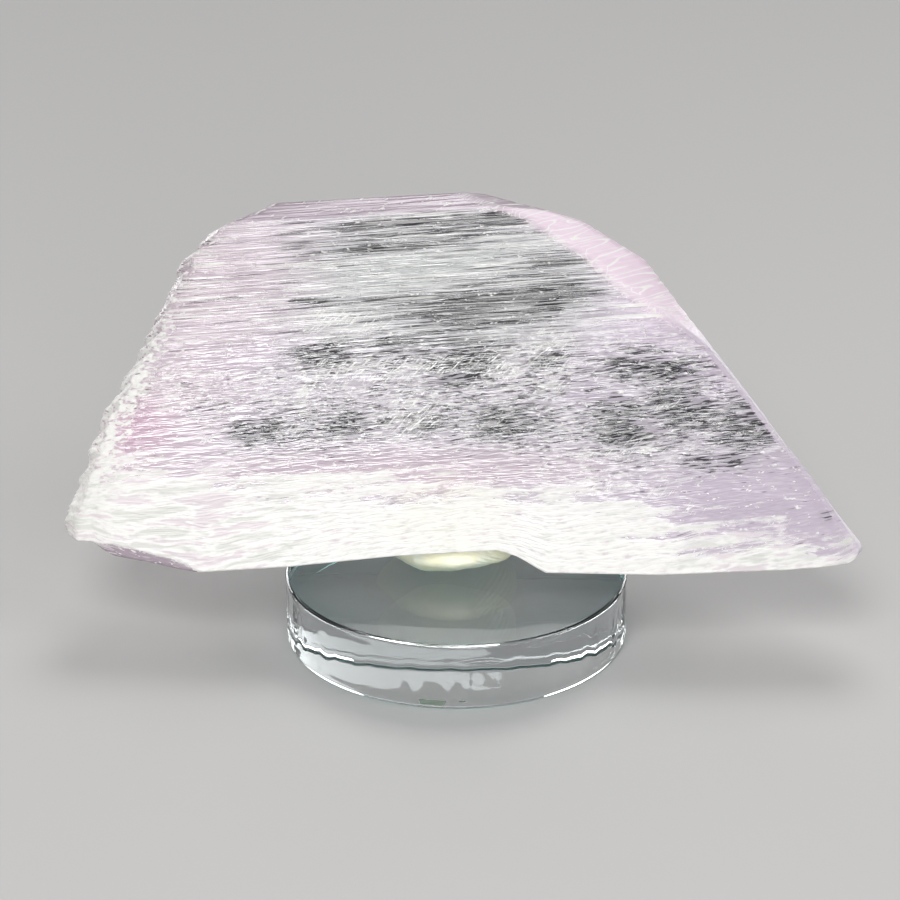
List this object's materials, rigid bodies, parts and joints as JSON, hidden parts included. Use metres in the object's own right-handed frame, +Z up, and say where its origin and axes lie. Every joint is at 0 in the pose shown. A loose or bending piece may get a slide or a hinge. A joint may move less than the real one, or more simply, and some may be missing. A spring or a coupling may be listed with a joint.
{
  "type": "kunzite crystal",
  "caption": "Flat striated lilac kunzite crystal, leaning back in a wad of mounting putty on a round clear glass display disc.",
  "frame": {"origin": "middle of the glass disc's underside", "axes": "+X along the crystal's length, -Y towards the viewer of the broad face, +Z up"},
  "size_m": [0.1161, 0.0621, 0.0562],
  "materials": {
    "kunzite": "satin",
    "putty": "matte",
    "clear_glass": "polished"
  },
  "bodies": {
    "root": {"crystal": "kunzite", "putty": "putty", "disc": "clear_glass"}
  },
  "joints": []
}
